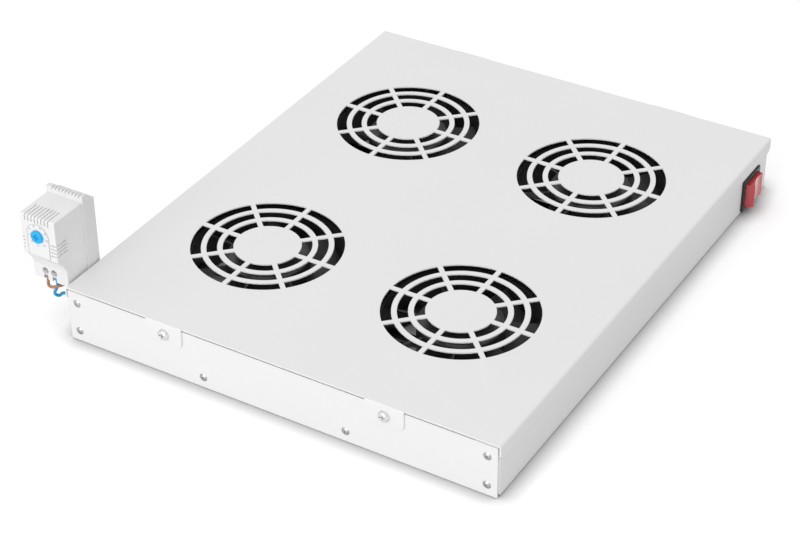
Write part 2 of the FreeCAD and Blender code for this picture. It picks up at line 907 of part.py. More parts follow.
def make_impeller():
    """The rotor cup with its shaft and a ring of twisted, cambered blades."""
    body = new_body("fan_impeller")
    tip = duct_radius - blade_tip_gap
    foot = blade_outline(hub_lift + 2, hub_top - 3, hub_radius * 0.34, blade_bulge)
    end = blade_outline(hub_lift + 4, hub_top - 5, hub_radius * 0.62, blade_bulge)
    inner = new_sketch(body, "blade_foot", "YZ_Plane", hub_radius - 5, [foot])
    outer = new_sketch(body, "blade_tip", "YZ_Plane", tip + 2, [end])
    blade = body.newObject("PartDesign::AdditiveLoft", "fan_impeller_blade")
    blade.Profile = inner
    blade.Sections = [outer]
    blade.Ruled = True
    base = new_sketch(body, "axis", "XY_Plane", circles=[(0, 0, shaft_radius)])
    around(body, [blade], base, blades)
    trims = [box_outline(tip, tip + 20, 0, fan_height)]
    trims.append(box_outline(0, hub_radius - hub_wall / 2, 0, fan_height))
    for place, trim in enumerate(trims):
        sketch = new_sketch(body, f"trim_{place}", "XZ_Plane", outlines=[trim])
        groove = body.newObject("PartDesign::Groove", f"fan_impeller_groove_{place}")
        groove.Profile = sketch
        groove.ReferenceAxis = (sketch, ["V_Axis"])
        groove.Angle = 360
    hub_in = hub_radius - hub_wall
    shaft_low = strut_lift + 0.5
    boss = tube_length + strut_lift + 1
    profile = [
        corner(0, shaft_low),
        corner(shaft_radius, shaft_low),
        corner(shaft_radius, boss),
        corner(tube_radius, boss),
        corner(tube_radius, hub_top - hub_wall),
        corner(hub_in, hub_top - hub_wall),
        corner(hub_in, hub_lift),
        corner(hub_radius, hub_lift),
        corner(hub_radius, hub_top - hub_wall),
        corner(hub_in, hub_top, (hub_in, hub_top - hub_wall)),
        corner(0, hub_top),
    ]
    turned(body, new_sketch(body, "hub", "XZ_Plane", outlines=[profile]))
    return body


# Rocker switch: bezel with its housing, blade terminals, rocker


def make_switch():
    """The switch in the right wall: the housing passes the wall and the bezel lies on it."""
    body = new_body("switch_housing")
    window = [centred_outline(switch_place_y, switch_place_z, switch_body_long, switch_body_high)]
    housing = new_sketch(body, "housing", "YZ_Plane", wall_out, window)
    pad(body, housing, switch_body_deep, "against")
    rim = [centred_outline(switch_place_y, switch_place_z, bezel_long, bezel_high)]
    pad(body, new_sketch(body, "bezel", "YZ_Plane", wall_out, rim), bezel_thick)

    def rim_edge(edge):
        return on(edge, x=wall_out + bezel_thick) and not on(edge, x=wall_out)

    rounded(body, "bezel_rim", bezel_thick / 4, rim_edge)
    well_long = 2 * (rocker_sweep + rocker_gap)
    well = [centred_outline(switch_place_y, switch_place_z, well_long, rocker_high + 2 * rocker_gap)]
    mouth = new_sketch(body, "well", "YZ_Plane", wall_out + bezel_thick, well)
    pocket(body, mouth, bezel_thick + rocker_depth * 2.6)
    reach = rocker_high + 2 * rocker_gap + 2 * rocker_pin_length
    pin_hole = new_sketch(body, "pin_hole", "XY_Plane", switch_place_z,
                          circles=[(wall_out, switch_place_y, rocker_pin_radius + shaft_gap)])
    pocket(body, pin_hole, reach, "both")
    nodes.append(body)
    tabs = new_body("switch_terminals")
    rows = []
    for step_y in (-1, 0, 1):
        for step_z in sides:
            y = switch_place_y + step_y * switch_body_long / 4
            z = switch_place_z + step_z * switch_body_high / 4
            rows.append(centred_outline(y, z, blade_tab_thick, blade_tab_width))
    pad(tabs, new_sketch(tabs, "blades", "YZ_Plane", wall_out - switch_body_deep, rows),
        blade_tab_length, "against")
    nodes.append(tabs)
    rocker = new_body("switch_rocker")
    end_y = root(rocker_sweep * rocker_sweep - rocker_crest * rocker_crest)
    foot_y = root(rocker_sweep * rocker_sweep - rocker_depth * rocker_depth)
    sag = rocker_crest - rocker_dip
    hollow = (end_y * end_y + sag * sag) / (2 * sag)
    profile = [
        corner(-rocker_depth, -foot_y),
        corner(rocker_crest, -end_y, (0, 0)),
        corner(rocker_crest, end_y, (rocker_dip + hollow, 0)),
        corner(-rocker_depth, foot_y, (0, 0)),
    ]
    pad(rocker, new_sketch(rocker, "profile", "XY_Plane", outlines=[profile]), rocker_high, "both")
    pins = new_sketch(rocker, "pins", "XY_Plane", circles=[(0, 0, rocker_pin_radius)])
    pad(rocker, pins, rocker_high + 2 * rocker_gap + 2 * rocker_pin_length - 2 * hole_gap, "both")
    rocker.Placement = FreeCAD.Placement(
        Vector(), FreeCAD.Rotation(Vector(0, 0, 1), float(rocker_tilt)))
    bind(rocker, "Placement.Base.x", wall_out)
    bind(rocker, "Placement.Base.y", switch_place_y)
    bind(rocker, "Placement.Base.z", switch_place_z)
    nodes.append(rocker)


# Mains inlet in the rear panel


def make_inlet():
    """The inlet socket: flange outside the rear panel, body and well behind it, and three pins."""
    body = new_body("mains_inlet")
    place = (inlet_place_x, inlet_place_z)
    holes = [(inlet_place_x + side * inlet_screw_pitch / 2, inlet_place_z, inlet_hole_radius)
             for side in sides]
    rim = [centred_outline(*place, inlet_flange_long, inlet_flange_high)]
    flange = new_sketch(body, "flange", "XZ_Plane", -panel_front, rim, holes)
    pad(body, flange, inlet_flange_thick, "against")
    half_long, half_high = inlet_flange_long / 2, inlet_flange_high / 2

    def flange_corner(edge):
        box = edge.BoundBox
        return box.YLength > float(inlet_flange_thick) * 0.9 and (
            abs(abs(box.XMin - float(inlet_place_x)) - float(half_long)) < 0.01
            and abs(abs(box.ZMin - float(inlet_place_z)) - float(half_high)) < 0.01)

    rounded(body, "flange_corners", inlet_flange_thick, flange_corner)
    block = [centred_outline(*place, inlet_body_long, inlet_body_high)]
    pad(body, new_sketch(body, "body", "XZ_Plane", -panel_front, block), inlet_body_deep)
    bevel = inlet_well_high / 4
    left, right = inlet_place_x - inlet_well_long / 2, inlet_place_x + inlet_well_long / 2
    low, high = inlet_place_z - inlet_well_high / 2, inlet_place_z + inlet_well_high / 2
    well = [
        corner(left, low),
        corner(right, low),
        corner(right, high - bevel),
        corner(right - bevel, high),
        corner(left + bevel, high),
        corner(left, high - bevel),
    ]
    mouth = new_sketch(body, "well", "XZ_Plane", -panel_front - inlet_flange_thick, [well])
    pocket(body, mouth, inlet_well_deep, "normal")
    nodes.append(body)
    pins = new_body("inlet_pins")
    rows = [centred_outline(inlet_place_x + step * inlet_well_long / 3.5,
                            inlet_place_z + (1 - abs(step)) * inlet_well_high / 5 - inlet_well_high / 10,
                            inlet_pin_thick, inlet_pin_high) for step in (-1, 0, 1)]
    well_floor = panel_front + inlet_flange_thick - inlet_well_deep
    pad(pins, new_sketch(pins, "pins", "XZ_Plane", -well_floor, rows), inlet_pin_length, "against")
    tails = new_sketch(pins, "tails", "XZ_Plane", -(panel_front - inlet_body_deep), rows)
    pad(pins, tails, blade_tab_length)
    nodes.append(pins)


# Terminal block and earth stud


def make_terminal_block():
    """A row of screw clamps on the bottom plate between the fans."""
    body = new_body("terminal_block")
    place = (terminal_place_x, terminal_place_y)
    foot = [centred_outline(*place, terminal_long, terminal_wide)]
    pad(body, new_sketch(body, "foot", "XY_Plane", gauge, foot), terminal_tall / 2)
    top = [centred_outline(*place, terminal_long, terminal_wide / 2)]
    pad(body, new_sketch(body, "top", "XY_Plane", gauge, top), terminal_tall)
    clamps = [(terminal_place_x + (step - 2.5) * terminal_long / 6, terminal_place_y, terminal_clamp_radius)
              for step in range(6)]
    wells = new_sketch(body, "wells", "XY_Plane", gauge + terminal_tall, circles=clamps)
    pocket(body, wells, terminal_tall / 3)
    nodes.append(body)
    screws = new_body("terminal_screws")
    heads = [(x, y, radius - hole_gap) for x, y, radius in clamps]
    floor = gauge + terminal_tall * 2 / 3
    pad(screws, new_sketch(screws, "heads", "XY_Plane", floor, circles=heads), terminal_tall / 6)
    slots = [centred_outline(x, y, 2 * radius, radius / 3) for x, y, radius in clamps]
    driver = new_sketch(screws, "slots", "XY_Plane", floor + terminal_tall / 6, slots)
    pocket(screws, driver, terminal_tall / 12)
    nodes.append(screws)
    stud = new_body("earth_stud")
    post = new_sketch(stud, "post", "XY_Plane", gauge, circles=[(earth_place_x, earth_place_y, screw_radius)])
    pad(stud, post, earth_stud_height)
    nodes.append(stud)


# Thermostat with its dial, rail, bracket and leads

thermostat_left = thermostat_place_x - thermostat_width / 2
thermostat_right = thermostat_place_x + thermostat_width / 2
thermostat_top = thermostat_foot + thermostat_high
thermostat_back = thermostat_front + thermostat_deep
block_back = thermostat_back + block_deep
strip_back = block_back + strip_deep
block_foot = thermostat_foot + block_lift
block_top = thermostat_top + block_rise
dial_place = (thermostat_place_x + dial_offset, thermostat_foot + dial_rise)
shoulder_z = thermostat_foot + shoulder_high
terminal_z = thermostat_foot + terminal_high
terminal_front = thermostat_front + terminal_recess
slope_end_y = terminal_front - slope_back
slope_end_z = shoulder_z - slope_drop
rail_middle = (block_foot + block_top) / 2
rail_rivets = (rail_middle - rail_rivet_step, rail_middle + rail_rivet_step)
clamp_offsets = (clamp_left, clamp_right)


def arch_outline(radius, foot):
    """The outline of the arch about the dial: two legs and a half circle."""
    x, z = dial_place
    return [
        corner(x - radius, foot),
        corner(x + radius, foot),
        corner(x + radius, z),
        corner(x, z + radius, (x, z)),
        corner(x - radius, z, (x, z)),
    ]


def make_thermostat_housing():
    """The front housing: stepped side profile, vents, arch plate, dial seat, clamp holes."""
    body = new_body("thermostat_housing")
    side_view = [
        corner(thermostat_front, shoulder_z),
        corner(thermostat_front, thermostat_top),
        corner(thermostat_back, thermostat_top),
        corner(thermostat_back, thermostat_foot),
        corner(terminal_front, thermostat_foot),
        corner(terminal_front, terminal_z),
        corner(slope_end_y, slope_end_z),
    ]
    profile = new_sketch(body, "side_view", "YZ_Plane", thermostat_place_x, [side_view])
    pad(body, profile, thermostat_width, "both")

    def crosswise(edge, y):
        box = edge.BoundBox
        return box.XLength > float(thermostat_width) * 0.9 and abs(box.YMin - float(y)) < 0.01

    rounded(body, "front_edges", thermostat_round, lambda edge: crosswise(edge, thermostat_front))
    rounded(body, "slope_edge", slope_round, lambda edge: crosswise(edge, slope_end_y))
    inner_radius = arch_radius - arch_groove
    ring = [arch_outline(arch_radius, shoulder_z - 2), arch_outline(inner_radius, shoulder_z - 1)]
    pocket(body, new_sketch(body, "arch_groove", "XZ_Plane", -thermostat_front, ring), arch_groove)
    arch = [arch_outline(inner_radius, shoulder_z + 1.2)]
    pad(body, new_sketch(body, "arch", "XZ_Plane", -thermostat_front, arch), arch_thick)
    vent = [
        corner(thermostat_front - 1, thermostat_top - vent_drop),
        corner(thermostat_front + vent_depth, thermostat_top - vent_drop),
        corner(thermostat_front + vent_depth, thermostat_top - vent_depth),
        corner(thermostat_front + vent_reach, thermostat_top - vent_depth),
        corner(thermostat_front + vent_reach, thermostat_top + 1),
        corner(thermostat_front - 1, thermostat_top + 1),
    ]
    first = thermostat_place_x + dial_offset - vent_pitch * 3.5
    cut = pocket(body, new_sketch(body, "vent", "YZ_Plane", first, [vent]), vent_width, "both")
    in_line(body, cut, "X_Axis", vent_pitch, 8)
    run_y, run_z = slope_end_y - thermostat_front, slope_end_z - shoulder_z
    near_y, near_z = thermostat_front + run_y * 0.25, shoulder_z + run_z * 0.25
    slope_slot = [
        corner(near_y - 2, near_z),
        corner(near_y + vent_depth, near_z),
        corner(slope_end_y + vent_depth, slope_end_z),
        corner(slope_end_y - 2, slope_end_z),
    ]
    first = thermostat_place_x + slope_slot_offset - vent_pitch * 2
    cut = pocket(body, new_sketch(body, "slope_slot", "YZ_Plane", first, [slope_slot]), vent_width, "both")
    in_line(body, cut, "X_Axis", vent_pitch, 5)
    slit_sides = ((-1, thermostat_left, side_slit_left), (1, thermostat_right, side_slit_right))
    for side, edge_x, reach in slit_sides:
        start = edge_x - side * reach
        slit = [
            corner(edge_x + side, thermostat_front - 1),
            corner(start, thermostat_front - 1),
            corner(start, thermostat_front + vent_depth),
            corner(edge_x - side * vent_depth, thermostat_front + vent_depth),
            corner(edge_x - side * vent_depth, thermostat_front + side_slit_reach),
            corner(edge_x + side, thermostat_front + side_slit_reach),
        ]
        name = "left_slit" if side < 0 else "right_slit"
        sketch = new_sketch(body, name, "XY_Plane", shoulder_z + side_slit_lift, [slit])
        row = pocket(body, sketch, vent_width, "both")
        in_line(body, row, "Z_Axis", vent_pitch, 4)
    holes = [(thermostat_place_x + offset, thermostat_foot + clamp_rise, clamp_radius)
             for offset in clamp_offsets]
    clamp = new_sketch(body, "clamp_holes", "XZ_Plane", -terminal_front, circles=holes)
    pocket(body, clamp, clamp_depth, "against")
    seat = new_sketch(body, "dial_seat", "XZ_Plane", -(thermostat_front - arch_thick),
                      circles=[(*dial_place, spindle_radius + shaft_gap)])
    pocket(body, seat, dial_depth, "against")
    entries = [box_outline(thermostat_place_x + offset - entry_size / 2,
                           thermostat_place_x + offset + entry_size / 2,
                           terminal_front - 1, terminal_front + entry_reach) for offset in clamp_offsets]
    mouths = new_sketch(body, "lead_entries", "XY_Plane", thermostat_foot, entries)
    pocket(body, mouths, entry_depth, "normal")
    nodes.append(body)


def make_thermostat_back():
    """The rear block with its grooves, the rail foot behind it, the dial and the clamp screws."""
    block = new_body("thermostat_base")
    side_view = [
        corner(thermostat_back, block_foot),
        corner(thermostat_back, block_top),
        corner(thermostat_back + band_deep, block_top),
        corner(block_back, block_top - band_fall),
        corner(block_back, block_foot),
    ]
    profile = new_sketch(block, "side_view", "YZ_Plane", thermostat_place_x, [side_view])
    pad(block, profile, block_width, "both")

    def block_rim(edge):
        return abs(edge.BoundBox.YMax - float(thermostat_back)) < 0.01

    rounded(block, "rim", 0.8, block_rim)
    groove = [
        corner(thermostat_back - 1, block_top - groove_drop),
        corner(thermostat_back + vent_depth, block_top - groove_drop),
        corner(thermostat_back + vent_depth, block_top - vent_depth),
        corner(thermostat_back + band_deep + 1, block_top - vent_depth),
        corner(thermostat_back + band_deep + 1, block_top + 1),
        corner(thermostat_back - 1, block_top + 1),
    ]
    first = thermostat_place_x - groove_pitch * 3.5
    cut = pocket(block, new_sketch(block, "groove", "YZ_Plane", first, [groove]), vent_width, "both")
    in_line(block, cut, "X_Axis", groove_pitch, 9)
    nodes.append(block)
    foot = new_body("thermostat_rail_foot")
    half = block_width / 2 - 0.5
    strip = [box_outline(thermostat_place_x - half, thermostat_place_x + half,
                         block_foot, block_top - strip_drop)]
    pad(foot, new_sketch(foot, "strip", "XZ_Plane", -block_back, strip), strip_deep, "against")
    claws = []
    for side in sides:
        edge_z = rail_middle + side * rail_high / 2
        root_z = edge_z + side * claw_reach
        lip_z = edge_z - side * claw_reach
        rail_face = strip_back + hole_gap
        inner_y = rail_face + rail_gauge + hole_gap
        claws.append([
            corner(strip_back, root_z),
            corner(inner_y + claw_reach, root_z),
            corner(inner_y + claw_reach, lip_z),
            corner(inner_y, lip_z),
            corner(inner_y, edge_z + side * hole_gap),
            corner(strip_back, edge_z + side * hole_gap),
        ])
    hooks = new_sketch(foot, "claws", "YZ_Plane", rail_place_x, claws)
    pad(foot, hooks, rail_long / 2, "both")
    nodes.append(foot)
    dial = new_body("thermostat_dial")
    face = thermostat_front - arch_thick - hole_gap
    cap = new_sketch(dial, "cap", "XZ_Plane", -face, circles=[(*dial_place, dial_radius)])
    pad(dial, cap, dial_thick)
    rounded(dial, "rim", dial_thick / 4, lambda edge: on(edge, y=-(face - dial_thick)))
    spindle = new_sketch(dial, "spindle", "XZ_Plane", -face, circles=[(*dial_place, spindle_radius)])
    pad(dial, spindle, dial_depth - 2 * hole_gap, "against")
    for place, (long, high) in enumerate(((dial_radius, dial_slot), (dial_slot, dial_radius))):
        bar = [centred_outline(*dial_place, long, high)]
        slot = new_sketch(dial, f"slot_{place}", "XZ_Plane", -(face - dial_thick), bar)
        pocket(dial, slot, dial_thick / 2)
    nodes.append(dial)
    screws = new_body("thermostat_screws")
    heads = [(thermostat_place_x + offset, thermostat_foot + clamp_rise, clamp_radius - hole_gap)
             for offset in clamp_offsets]
    floor_y = terminal_front + clamp_depth
    pad(screws, new_sketch(screws, "heads", "XZ_Plane", -floor_y, circles=heads), clamp_depth / 2)
    bars = [centred_outline(x, z, 2 * radius, radius / 3) for x, z, radius in heads]
    driver = new_sketch(screws, "slots", "XZ_Plane", -(floor_y - clamp_depth / 2), bars)
    pocket(screws, driver, clamp_depth / 6)
    nodes.append(screws)


def make_rail_and_bracket():
    """The short top-hat rail and the folded bracket that carries it on the left wall."""
    rail = new_body("mounting_rail")
    face = strip_back + hole_gap
    back = face + rail_deep
    half, crown = rail_high / 2, rail_crown / 2
    inner = crown - rail_gauge
    hat = [
        corner(face, rail_middle - half),
        corner(face, rail_middle - inner),
        corner(back - rail_gauge, rail_middle - inner),
        corner(back - rail_gauge, rail_middle + inner),
        corner(face, rail_middle + inner),
        corner(face, rail_middle + half),
        corner(face + rail_gauge, rail_middle + half),
        corner(face + rail_gauge, rail_middle + crown),
        corner(back, rail_middle + crown),
        corner(back, rail_middle - crown),
        corner(face + rail_gauge, rail_middle - crown),
        corner(face + rail_gauge, rail_middle - half),
    ]
    pad(rail, new_sketch(rail, "hat", "YZ_Plane", rail_place_x, [hat]), rail_long, "both")
    screw_hole = new_sketch(rail, "screw_holes", "XZ_Plane",
                            circles=[(rail_place_x, z, rivet_hole_radius) for z in rail_rivets])
    pocket(rail, screw_hole)
    nodes.append(rail)
    bracket = new_body("rail_bracket")
    plate_left, plate_right = rail_place_x - rail_long / 2, rail_place_x + rail_long / 2
    low, arm = bracket_low, bracket_arm
    plate = [
        corner(-wall_out, low),
        corner(-wall_out, arm),
        corner(plate_right, arm),
        corner(plate_right, rail_middle + crown),
        corner(plate_left, rail_middle + crown),
        corner(plate_left, low + bracket_gauge * 4),
        corner(plate_left + bracket_gauge * 4, low),
    ]
    sheet_plate = new_sketch(bracket, "plate", "XZ_Plane", -back, [plate],
                             [(rail_place_x, z, rivet_hole_radius) for z in rail_rivets])
    pad(bracket, sheet_plate, bracket_gauge, "against")
    end = bracket_rivets[0] - 2 * rivet_head_radius
    leg = [box_outline(end, back + bracket_gauge, low, arm)]
    pad(bracket, new_sketch(bracket, "leg", "YZ_Plane", -wall_out, leg), bracket_gauge, "against")
    holes = new_sketch(bracket, "leg_holes", "YZ_Plane", -wall_out,
                       circles=[(y, bracket_rivet_z, rivet_hole_radius) for y in bracket_rivets])
    pocket(bracket, holes)
    outer = -(back + bracket_gauge)
    rounded(bracket, "bend", bracket_gauge, lambda edge: on(edge, x=wall_out, y=outer))
    nodes.append(bracket)


# Leads: straight runs joined by tangent arcs


def tube_path(points):
    """Straight runs joined by arcs, each as large as its two runs allow."""
    edges = []
    radii = []
    last = Vector(*points[0])
    for before, here, after in zip(points, points[1:], points[2:]):
        before, here, after = Vector(*before), Vector(*here), Vector(*after)
        back = before - here
        ahead = after - here
        reach = 0.45 * min(back.Length, ahead.Length)
        turn = math.pi - back.getAngle(ahead)
        radii.append(reach / math.tan(turn / 2))
        back.normalize()
        ahead.normalize()
        start = here + back * reach
        end = here + ahead * reach
        bisector = back + ahead
        bisector.normalize()
        centre_reach = math.hypot(reach, radii[-1])
        middle = here + bisector * (centre_reach - radii[-1])
        edges.append(Part.LineSegment(last, start).toShape())
        edges.append(Part.Arc(start, middle, end).toShape())
        last = end
    edges.append(Part.LineSegment(last, Vector(*points[-1])).toShape())
    return Part.Wire(edges), radii


def make_lead(name, points, radius):
    """A round lead swept along its route."""
    path, radii = tube_path(points)
    print(name, "length", round(path.Length, 1), "radii", [round(value, 1) for value in radii])
    start = Vector(*points[0])
    direction = Vector(*points[1]) - start
    ring = Part.Wire(Part.Circle(start, direction, float(radius)).toShape())
    tube = path.makePipeShell([ring], True, False)
    item = doc.addObject("Part::Feature", name)
    item.Label = name
    item.Shape = tube
    expected = math.pi * float(radius) ** 2 * path.Length
    print(name, "volume ratio", round(tube.Volume / expected, 3))
    nodes.append(item)


def make_grommet():
    """A rubber grommet in the left wall with a hole for each lead."""
    body = new_body("lead_grommet")
    bore = grommet_hole_radius - hole_gap
    collar = grommet_hole_radius + grommet_lip
    rows = [(grommet_place_y + side * lead_spread, grommet_place_z, lead_radius + hole_gap) for side in sides]
    place = (grommet_place_y, grommet_place_z)
    outer = new_sketch(body, "outer", "YZ_Plane", -wall_out, circles=[(*place, collar)])
    pad(body, outer, grommet_lip, "against")
    neck = new_sketch(body, "neck", "YZ_Plane", -wall_out, circles=[(*place, bore)])
    pad(body, neck, gauge)
    inner = new_sketch(body, "inner", "YZ_Plane", -wall_in, circles=[(*place, collar)])
    pad(body, inner, grommet_lip)
    pocket(body, new_sketch(body, "bores", "YZ_Plane", -wall_out, circles=rows))
    nodes.append(body)


# Fastener groups


def make_fasteners():
    """All rivets, screws and nuts, each kind as one group of separate solids."""
    rivet = rivet_body("rivet", 2 * gauge)
    spots = []
    for side, way in ((-1, "front"), (1, "back")):
        spots += [(x, side * panel_front, z, way) for x, z in panel_rivets]
    group("panel_rivets", rivet, spots)
    wall_rivet = rivet_body("wall_rivet", gauge + bracket_gauge)
    leg_face = -wall_out - bracket_gauge
    group("bracket_rivets", wall_rivet, [(leg_face, y, bracket_rivet_z, "left") for y in bracket_rivets])
    rail_rivet = rivet_body("rail_rivet", rail_gauge + bracket_gauge)
    crown_face = strip_back + hole_gap + rail_deep - rail_gauge
    group("rail_rivets", rail_rivet, [(rail_place_x, crown_face, z, "front") for z in rail_rivets])
    screw = pan_screw_body()
    spots = []
    for side, way in ((-1, "front"), (1, "back")):
        spots += [(step * tab_place, side * tray_half, tab_screw_z, way) for step in sides]
    group("cover_screws", screw, spots)
    nut = nut_body("cover_nut", screw_radius + hole_gap, nut_radius * 1.4, nut_height, 4)
    spots = []
    for side, way in ((-1, "back"), (1, "front")):
        spots += [(step * tab_place, side * panel_back, tab_screw_z, way) for step in sides]
    group("cover_nuts", nut, spots)
    group("fan_screws", fan_screw_body(), [(x, y, 0, "down") for x, y in fan_corners()])
    fan_nut = nut_body("fan_nut", fan_screw_radius + hole_gap, nut_radius, nut_height, 6)
    group("fan_nuts", fan_nut, [(x, y, gauge + fan_flange, "up") for x, y in fan_corners()])
    earth_nut = nut_body("earth_nut_body", screw_radius + hole_gap, nut_radius * 1.1, nut_height, 6)
    group("earth_nut", earth_nut, [(earth_place_x, earth_place_y, gauge, "up")])
    inlet_face = panel_front + inlet_flange_thick
    bolt = inlet_screw_body()
    places = [inlet_place_x + side * inlet_screw_pitch / 2 for side in sides]
    group("inlet_screws", bolt, [(x, inlet_face, inlet_place_z, "back") for x in places])
    inlet_nut = nut_body("inlet_nut", inlet_screw_radius + hole_gap, nut_radius * 0.8, nut_height * 0.8, 6)
    group("inlet_nuts", inlet_nut, [(x, panel_back, inlet_place_z, "front") for x in places])


def inlet_screw_body():
    """A small pan screw through the inlet flange and the panel."""
    body = new_body("inlet_screw")
    head = inlet_screw_radius * 1.9
    height = inlet_screw_radius
    profile = [
        corner(0, height),
        corner(head * 0.7, height),
        corner(head, height / 2),
        corner(head, 0),
        corner(inlet_screw_radius, 0),
        corner(inlet_screw_radius, -inlet_flange_thick - gauge - nut_height),
        corner(0, -inlet_flange_thick - gauge - nut_height),
    ]
    turned(body, new_sketch(body, "profile", "XZ_Plane", outlines=[profile]))
    cross_recess(body, height, head * 0.5, inlet_screw_radius * 0.4, height * 0.5)
    return body


# Build

make_top_cover()
make_base_pan()
make_panel("front_panel", -panel_back)
inlet_holes = [(inlet_place_x + side * inlet_screw_pitch / 2, inlet_place_z, inlet_hole_radius)
               for side in sides]
make_panel("rear_panel", panel_back, [inlet_window], inlet_holes)
frame_template = make_fan_frame()
stator_template = make_stator()
impeller_template = make_impeller()
doc.recompute()
park_turn = 13
for index, (fan_name, fan_side) in enumerate(fan_names.items()):
    centre_x, centre_y = fan_centre(*fan_side)
    placed(f"fan_frame_{fan_name}", frame_template, centre_x, centre_y, gauge)
    placed(f"fan_stator_{fan_name}", stator_template, centre_x, centre_y, gauge)
    placed(f"fan_impeller_{fan_name}", impeller_template, centre_x, centre_y, gauge, index * park_turn)
make_switch()
make_inlet()
make_terminal_block()
make_thermostat_housing()
make_thermostat_back()
make_rail_and_bracket()
make_grommet()
doc.recompute()
make_fasteners()
brown_x, blue_x = (float(thermostat_place_x + offset) for offset in clamp_offsets)
lead_y = float(terminal_front + lead_inset)
lead_mouth = float(thermostat_foot + entry_depth)
wall_x = float(-wall_in + grommet_lip)
front_bore, rear_bore = float(grommet_place_y - lead_spread), float(grommet_place_y + lead_spread)
bore_z = float(grommet_place_z)
brown_route = [
    (brown_x, lead_y, lead_mouth),
    (brown_x, lead_y, 38),
    (-196.5, -219.8, 35.2),
    (-191.3, -219.3, 36.6),
    (-188.8, -211.6, 37),
    (-188.3, -205.3, 33),
    (-188.3, -203.9, 25),
    (-183.3, rear_bore, bore_z),
    (wall_x, rear_bore, bore_z),
]
blue_route = [
    (blue_x, lead_y, lead_mouth),
    (blue_x, lead_y, 34.5),
    (-195, -219, 27.8),
    (-194.2, -214.8, 23.6),
    (-191.5, -209.8, 23.9),
    (-186, front_bore, bore_z),
    (wall_x, front_bore, bore_z),
]
make_lead("brown_lead", brown_route, lead_radius)
make_lead("blue_lead", blue_route, lead_radius)
doc.recompute()

# Checks of the document, then one STEP file for each node

for item in doc.Objects:
    if "Invalid" in item.State or "Error" in item.State:
        raise RuntimeError(f"{item.Name} failed: {item.State}")
os.makedirs("parts", exist_ok=True)
for item in nodes:
    if item.Shape.isNull() or not item.Shape.isValid():
        raise RuntimeError(f"{item.Label} has no valid shape")
for item in nodes:
    item.Shape.exportStep(f"parts/{item.Label}.step")
print(len(nodes), "nodes")
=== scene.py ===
import math

import bpy
from mathutils import Matrix, Vector


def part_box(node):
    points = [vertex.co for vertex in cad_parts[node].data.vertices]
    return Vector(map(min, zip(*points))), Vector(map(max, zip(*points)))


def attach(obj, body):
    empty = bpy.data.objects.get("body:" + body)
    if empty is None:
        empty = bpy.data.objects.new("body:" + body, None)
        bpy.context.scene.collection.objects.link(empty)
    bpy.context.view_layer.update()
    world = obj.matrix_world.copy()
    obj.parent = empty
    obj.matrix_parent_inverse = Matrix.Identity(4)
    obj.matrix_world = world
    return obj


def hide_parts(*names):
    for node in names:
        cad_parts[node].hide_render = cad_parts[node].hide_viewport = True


bl_info = {
    "name": "Rack Fan Tray",
    "version": (1, 0, 0),
    "blender": (4, 5, 0),
    "location": "View3D > Sidebar > Fan Tray",
    "description": "Paint, plastics, leads and dial scale of a rack fan tray",
    "category": "Object",
}

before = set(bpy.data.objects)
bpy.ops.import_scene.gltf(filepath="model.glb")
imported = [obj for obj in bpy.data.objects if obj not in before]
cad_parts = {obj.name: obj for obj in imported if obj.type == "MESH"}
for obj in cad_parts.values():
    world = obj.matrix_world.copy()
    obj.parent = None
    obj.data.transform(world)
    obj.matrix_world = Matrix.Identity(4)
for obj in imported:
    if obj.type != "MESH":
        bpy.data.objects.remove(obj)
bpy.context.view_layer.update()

fan_names = ("front_left", "front_right", "rear_left", "rear_right")

# The photograph's camera, fitted to the tray's corners and the centres of the grilles. Lengths on
# the picture are in pixels, angles in radians.
picture_width = 800
picture_height = 533
focal_length = 2156.81
optical_centre = (350.72, 265.97)
camera_around = math.radians(32.66)
camera_above = math.radians(34.64)
camera_tilt = math.radians(-1.36)
camera_aim = Vector((-0.04972, -0.04183, 0))
sensor_width = 36

# Joining and softening of a copied CAD mesh
merge_distance = 0.000002
flat_angle = math.radians(0.5)
crease_angle = math.radians(32)


# Settings


class TraySettings(bpy.types.PropertyGroup):
    """Paint of the folded sheets and plating of the fasteners."""

    paint_colour: bpy.props.FloatVectorProperty(
        name="Paint colour", description="Light grey of the folded sheets",
        subtype="COLOR", size=4, min=0, max=1, default=(0.80, 0.80, 0.795, 1))
    paint_shade: bpy.props.FloatVectorProperty(
        name="Paint shade", description="Slightly darker grey that the paint drifts to in clouds",
        subtype="COLOR", size=4, min=0, max=1, default=(0.77, 0.772, 0.77, 1))
    zinc_colour: bpy.props.FloatVectorProperty(
        name="Zinc colour", description="Bright plating of screws, rivets, nuts and rail",
        subtype="COLOR", size=4, min=0, max=1, default=(0.74, 0.74, 0.73, 1))
    sheet_edge: bpy.props.FloatProperty(
        name="Sheet edge", description="Softness of the cut edges of the sheets",
        unit="LENGTH", min=0, default=0.00025)


class FanSettings(bpy.types.PropertyGroup):
    """Finish of the fans."""

    blade_colour: bpy.props.FloatVectorProperty(
        name="Blade colour", description="Black plastic of the impellers",
        subtype="COLOR", size=4, min=0, max=1, default=(0.045, 0.045, 0.047, 1))
    frame_colour: bpy.props.FloatVectorProperty(
        name="Frame colour", description="Black paint of the fan frames",
        subtype="COLOR", size=4, min=0, max=1, default=(0.018, 0.018, 0.018, 1))
    edge: bpy.props.FloatProperty(
        name="Moulded edge", description="Softness of the fans' edges",
        unit="LENGTH", min=0, default=0.0003)


